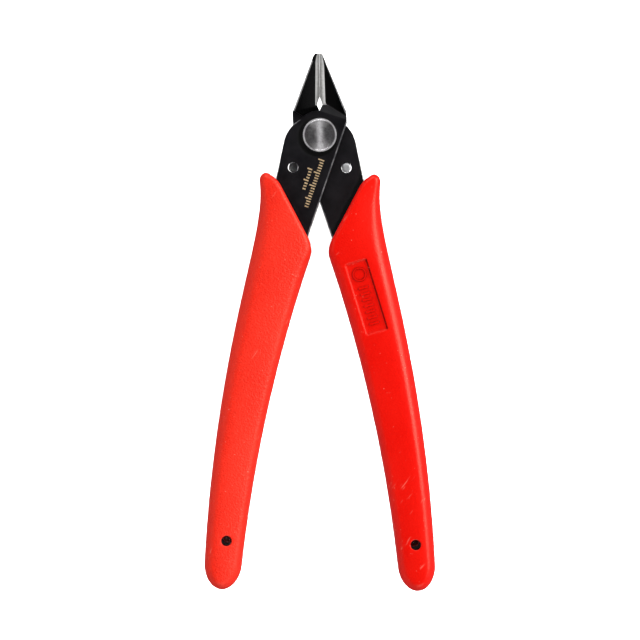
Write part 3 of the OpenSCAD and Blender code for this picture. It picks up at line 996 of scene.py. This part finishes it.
# A grip's materials in order: its plastic, then the painted shade of crevices and of the tether bore
PLASTIC, CREVICE_SHADE, BORE_SHADE = range(3)
# How far apart the points are that fill a grip's faces, and the panel's floor
GRIP_STEP, PANEL_STEP = 1.0, 0.9


def panel_frame():
    """The panel's middle in plan, and how far it is turned."""
    u = PANEL_FROM_END - STAGGER
    return on_bow(u, -PANEL_INWARDS), -heading(u) - PANEL_SKEW


def panel_rings():
    """The rings of the panel's wall in plan, and, between each two of their points, the plain plastic or the
    painted shade.
    """
    centre, turn = panel_frame()
    spin, back = Matrix.Rotation(-turn, 2), Matrix.Rotation(turn, 2)
    wide, tall = PANEL_SIZE
    outline = [spin @ (p - centre) for p in rounded_box(centre, PANEL_SIZE, PANEL_CORNER, turn)]
    rings = []
    for grow, _ in PANEL_WALL:
        rings.append([centre + back @ Vector((p.x * (wide + 2 * grow) / wide, p.y * (tall + 2 * grow) / tall))
                      for p in outline])
    # The outer wall, which leans away from the light, is the dark one
    outermost = [p.x < 0.2 - wide / 2 for p in outline]
    finish = [CREVICE_SHADE if here and after else PLASTIC
              for here, after in zip(outermost, outermost[1:] + outermost[:1])]
    return rings, finish


def grip(name, body, node, slot, plastic, side, drop, tether, panel):
    """A face and a back, raised from one outline, with a bore between them for a tether."""
    home = grip_outline()
    depth, upright = edge_form(home)
    bm = bmesh.new()

    def place(point, height):
        return placed(side * point.x, point.y, height)

    def slid(point):
        """Moves a point of the grip down its handle by drop."""
        u, out = off_bow(point)
        return on_bow(u - drop, out)

    def face_height(point, share=1.0):
        """The face's height, or with a smaller share that of the flatter back, turned over."""
        u, out = off_bow(point)
        return GRIP_T - share * (GRIP_T - crown(on_bow(u + drop, out)))

    rings = [[slid(p) for p in ring] for ring in inset_rings(home, depth)]
    seam = [bm.verts.new(place(p, MID_Z)) for p in rings[0]]
    hole_at = on_bow(tether[0] - drop, -tether[1])
    bore_ends = []
    for share in (1.0, BACK_SHARE):
        on_face = share == 1.0

        def turned_over(z):
            return z if on_face else GRIP_T - z

        below = seam
        for ring, a in zip(rings, RING_ANGLES):
            verts = []
            for p, much in zip(ring, upright):
                rise = max(0.02, much + (1 - much) * math.sin(math.radians(a)) ** 0.9)
                height = MID_Z + (face_height(p, share) - MID_Z) * rise
                verts.append(bm.verts.new(place(p, turned_over(height))))
            bridge(bm, below, verts)
            below = verts
        loops = [(rings[-1], below)]
        rim = []
        for wider, low in TETHER_RIM:
            ring = circle(hole_at, TETHER_R + wider, 36)
            verts = [bm.verts.new(place(p, turned_over(face_height(p, share) - low))) for p in ring]
            rim.append((ring, verts))
        loops.append(rim[0])
        # The rim's last step and the bore take the bore's painted shade
        for (_, a), (_, b), finish in zip(rim, rim[1:], (PLASTIC, PLASTIC, BORE_SHADE)):
            bridge(bm, a, b, finish)
        bore_ends.append(rim[-1][1])
        if panel and on_face:
            wall_rings, dark = panel_rings()
            walls = [(ring, [bm.verts.new(place(p, face_height(p) - low)) for p in ring])
                     for ring, (_, low) in zip(wall_rings, PANEL_WALL)]
            loops.append(walls[0])
            for (_, a), (_, b), finish in zip(walls, walls[1:], (PLASTIC, dark, dark, dark)):
                bridge(bm, a, b, finish)
            filled(bm, [walls[-1]], PANEL_STEP, lambda p: face_height(p) - PANEL_DEPTH, place)
        filled(bm, loops, GRIP_STEP, lambda p: turned_over(face_height(p, share)), place)
    bridge(bm, *bore_ends, BORE_SHADE)
    return finished(name, bm, [plastic, right_shadow, bore_shadow], body, slot, node, smooth=50)


grips = [grip("left_grip_moulding", "front_half", "left_grip", "left_grip_plastic", left_plastic, 1, 0.0,
              LEFT_TETHER, False),
         grip("right_grip_moulding", "rear_half", "right_grip", "right_grip_plastic", right_plastic, -1,
              STAGGER, RIGHT_TETHER, True)]


# ---------------------------------------------------------------- raised pattern in the panel

RIBS, RIB_SIZE, RIB_CORNER, RIB_PITCH, FIRST_RIB_Y = 7, (2.6, 0.62), 0.25, 1.45, 2.3
RING_OUT, RING_IN, RING_Y = 1.75, 1.25, 5.6
# Over the panel's floor, the pattern's foot and top, and how far its sides lean in
FOOT, TOP, LEAN_IN = -0.1, 0.24, 0.12


def panel_pattern():
    """A plain ring and a row of short ribs, moulded in the panel's floor."""
    bm = bmesh.new()
    centre, turn = panel_frame()
    back = Matrix.Rotation(turn, 2)

    def place(local, height):
        """A point of the panel, at a height over its floor."""
        p = centre + back @ local
        u, out = off_bow(p)
        base = crown(on_bow(u + STAGGER, out)) - PANEL_DEPTH
        return placed(-p.x, p.y, base + height)

    def raised(*rings):
        """A flat-topped shape whose sides lean in. A second ring is a hole in it."""
        low = [[bm.verts.new(place(p, FOOT)) for p in ring] for ring in rings]
        high = []
        for ring, foot, lean in zip(rings, low, (LEAN_IN, -LEAN_IN)):
            middle = sum(ring, Vector((0, 0))) / len(ring)
            eased = [p - (p - middle).normalized() * lean for p in ring]
            high.append([bm.verts.new(place(p, TOP)) for p in eased])
            # The shape's sides take the painted shade
            bridge(bm, foot, high[-1], CREVICE_SHADE)
        if len(rings) == 2:
            bridge(bm, *high)
            bridge(bm, *low)
        else:
            bm.faces.new(high[0])
            bm.faces.new(low[0])

    ring_at = Vector((0, RING_Y))
    raised(circle(ring_at, RING_OUT, 40), circle(ring_at, RING_IN, 40))
    for k in range(RIBS):
        raised(rounded_box(Vector((0, FIRST_RIB_Y - RIB_PITCH * k)), RIB_SIZE, RIB_CORNER, 0.0, 4))
    return finished("panel_pattern", bm, [right_plastic, right_shadow], "rear_half",
                    "right_grip_plastic", smooth=40)


panel_pattern()


# ---------------------------------------------------------------- printed scale

INK_T = 0.015


def printed_scale():
    """Two rows of plain tick marks printed on the front blade, along its inner edge."""
    bm = bmesh.new()
    along = Vector((-math.sin(INNER_EDGE), -math.cos(INNER_EDGE)))
    across = Vector((along.y, -along.x))

    def mark(at, w, h):
        corners = [at + along * sx * w / 2 + across * sy * h / 2
                   for sx, sy in ((-1, -1), (1, -1), (1, 1), (-1, 1))]
        low = [bm.verts.new(placed(p.x, p.y, FRONT_TOP - INK_T)) for p in corners]
        high = [bm.verts.new(placed(p.x, p.y, FRONT_TOP + INK_T)) for p in corners]
        bridge(bm, low, high)
        bm.faces.new(high)
        bm.faces.new(low)

    def row(start, count, pitch, width, every, tall, short):
        """Marks at a pitch, of which the first and then one in every few are tall."""
        for k in range(count):
            h = short if k % every else tall
            mark(start + along * pitch * k - across * (tall - h) / 2, width, h)

    row(Vector((0.35, -5.9)), 19, 0.64, 0.3, 5, 1.5, 0.95)
    row(Vector((-2.35, -8.0)), 8, 0.7, 0.34, 4, 1.2, 0.75)
    return finished("printed_scale", bm, [print_gold], "front_half", None)


printed_scale()


# ---------------------------------------------------------------- floor

# In metres: half the floor's width, and its height, just under the tool
FLOOR_HALF, FLOOR_Z, FLOOR_CELLS = 3.0, -0.00002, 8


def sweep_floor():
    bm = bmesh.new()
    lines = [-FLOOR_HALF + 2 * FLOOR_HALF * i / FLOOR_CELLS for i in range(FLOOR_CELLS + 1)]
    grid = [[bm.verts.new((x, y, FLOOR_Z)) for x in lines] for y in lines]
    for j in range(FLOOR_CELLS):
        for i in range(FLOOR_CELLS):
            bm.faces.new((grid[j][i], grid[j][i + 1], grid[j + 1][i + 1], grid[j + 1][i]))
    floor = finished("floor", bm, [white_sweep], None, None)
    # Its glare stays off the tool, which sees the studio's walls instead
    floor.visible_glossy = False
    floor.visible_diffuse = False
    return floor


for piece in grips:
    # Their red stays out of the steel, as a black card would keep it out
    piece.visible_glossy = False
light_group(floor_lights, [sweep_floor()])
light_group(floor_lights, grips, side="blocker_collection")
light_group(fan_lights, [screw])
# The steel has walls of its own, as the two side lamps would glare in it
light_group([key_light, left_light], [screw] + blades, "EXCLUDE")
light_group(blade_lights, blades)
